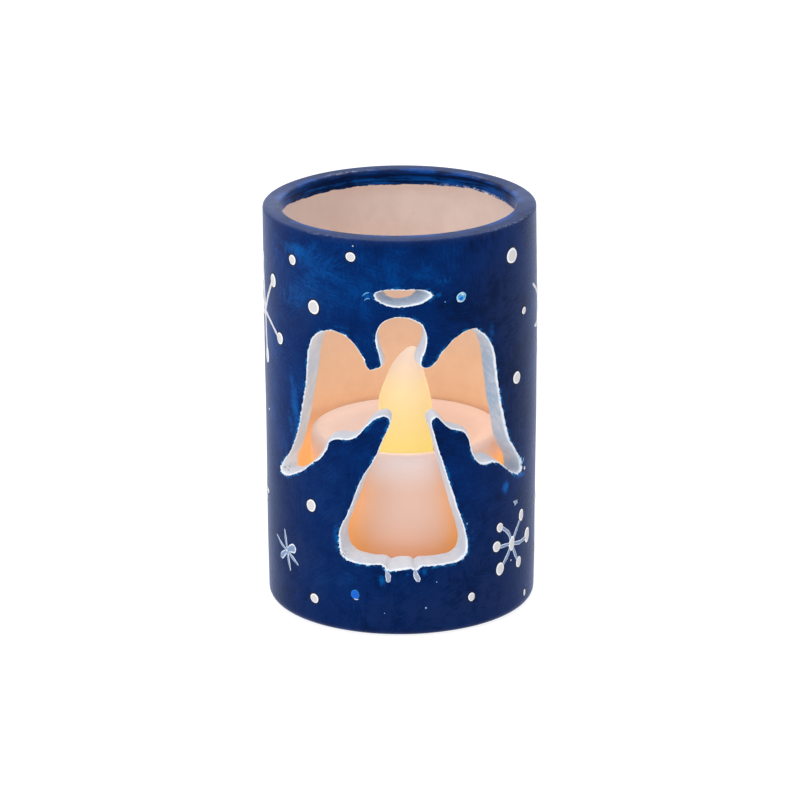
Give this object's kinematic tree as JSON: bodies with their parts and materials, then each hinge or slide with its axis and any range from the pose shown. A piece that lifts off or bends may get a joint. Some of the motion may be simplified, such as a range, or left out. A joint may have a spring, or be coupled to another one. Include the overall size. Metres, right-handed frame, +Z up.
{
  "type": "candle holder",
  "caption": "Hand-painted clay cylinder candle holder with an angel-and-halo cut-out, lit by a removable battery votive light.",
  "frame": {"origin": "centre of the holder's flat base, on the surface it stands on", "axes": "+Z up along the holder's axis; the angel cut-out faces -Y; +X to the viewer's right of the angel"},
  "size_m": [0.054, 0.054, 0.0816],
  "materials": {
    "painted_clay": "satin hand-brushed paint over fired clay",
    "candle_plastic": "matte, translucent, warm from the light inside",
    "flame_plastic": "satin translucent, glowing",
    "lamp_resin": "clear, gloss, lit",
    "tinned_wire": "satin",
    "white_plastic": "matte",
    "board": "satin solder mask",
    "epoxy_blob": "gloss",
    "resistor_body": "satin",
    "switch_steel": "satin",
    "switch_laminate": "matte",
    "contact_brass": "satin",
    "black_plastic": "matte",
    "cell_steel": "satin",
    "screw_steel": "satin"
  },
  "bodies": {
    "holder": {"clay_holder": "painted_clay"},
    "candle": {"candle_shell": "candle_plastic", "flame": "flame_plastic", "led": "lamp_resin", "led_leads": "tinned_wire", "led_spacer": "white_plastic", "circuit_board": "board", "flicker_chip": "epoxy_blob", "current_resistor": "resistor_body", "switch_frame": "switch_steel", "switch_base": "switch_laminate", "switch_terminals": "tinned_wire", "coin_cell_can": "cell_steel", "coin_cell_cap": "cell_steel", "coin_cell_gasket": "black_plastic", "positive_contact": "contact_brass", "negative_contact": "contact_brass", "base_plate": "white_plastic", "base_screws": "screw_steel", "board_screws": "screw_steel"},
    "switch": {"switch_knob": "black_plastic", "switch_wiper": "contact_brass"},
    "door": {"battery_door": "white_plastic"}
  },
  "joints": [
    {"name": "candle_lift", "type": "slide", "parent": "holder", "child": "candle", "axis": [0, 0, 1], "range_m": [0, 0.095]},
    {"name": "switch_slide", "type": "slide", "parent": "candle", "child": "switch", "axis": [0, 1, 0], "range_m": [0, 0.002]},
    {"name": "door_turn", "type": "hinge", "parent": "candle", "child": "door", "pos_m": [-0.0038, 0, 0.0066], "axis": [0, 0, -1], "range_deg": [0, 30]}
  ]
}
